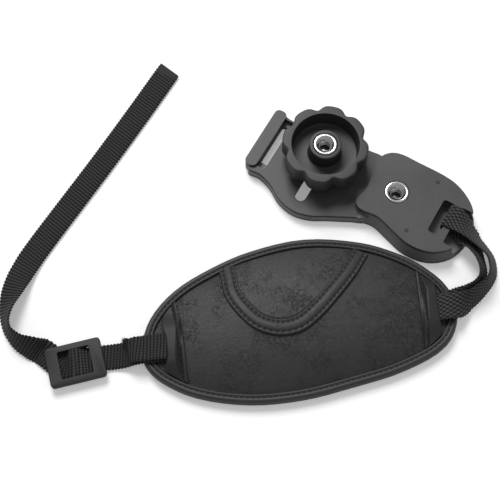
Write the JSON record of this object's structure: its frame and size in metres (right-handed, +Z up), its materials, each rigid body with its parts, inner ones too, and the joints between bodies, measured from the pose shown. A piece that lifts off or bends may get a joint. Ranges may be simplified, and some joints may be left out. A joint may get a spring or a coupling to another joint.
{
  "type": "camera hand strap",
  "caption": "Padded camera hand strap: leather pad between webbing straps, slide buckle, moulded mounting plate with strap slots, tripod bush and lobed thumb wheel with camera screw.",
  "frame": {"origin": "on the axis of the plate's tripod bush, at the face that lies against the camera", "axes": "+X to the right along the straps, +Y away from the pad towards the thumb wheel, +Z up out of the camera face"},
  "size_m": [0.2367, 0.1801, 0.0227],
  "materials": {
    "plate_plastic": "satin black moulded plastic",
    "wheel_plastic": "satin black moulded plastic",
    "buckle_plastic": "satin black moulded plastic",
    "bush_metal": "nickel plated",
    "screw_metal": "plated steel",
    "strip_rubber": "matte",
    "webbing": "woven nylon",
    "pad_foam": "soft foam",
    "pad_lining": "napped lining",
    "pad_leather": "fine wrinkled leather",
    "binding_tape": "smooth binding tape"
  },
  "bodies": {
    "strap_and_plate": {"base_plate": "plate_plastic", "plate_cover": "plate_plastic", "tripod_bush": "bush_metal", "long_rubber": "strip_rubber", "short_rubber": "strip_rubber", "tri_glide": "buckle_plastic", "loop_strap": "webbing", "tail_strap": "webbing", "stub_strap": "webbing", "pad_core": "pad_foam", "pad_backing": "pad_lining", "pad_leather": "pad_leather", "edge_binding": "binding_tape", "front_patch": "pad_leather", "patch_band": "pad_leather", "left_tab": "pad_leather", "right_tab": "pad_leather"},
    "screw_carriage": {"slide_washer": "wheel_plastic"},
    "wheel": {"thumb_wheel": "wheel_plastic", "wheel_bush": "bush_metal", "camera_screw": "screw_metal"}
  },
  "joints": [
    {"name": "screw_slide", "type": "slide", "parent": "strap_and_plate", "child": "screw_carriage", "axis": [0.5, 0.866, 0], "range_m": [-0.0229, 0.005]},
    {"name": "wheel_turn", "type": "hinge", "parent": "screw_carriage", "child": "wheel", "pos_m": [-0.03473, 0.02005, 0], "axis": [0, 0, 1], "continuous": true}
  ]
}
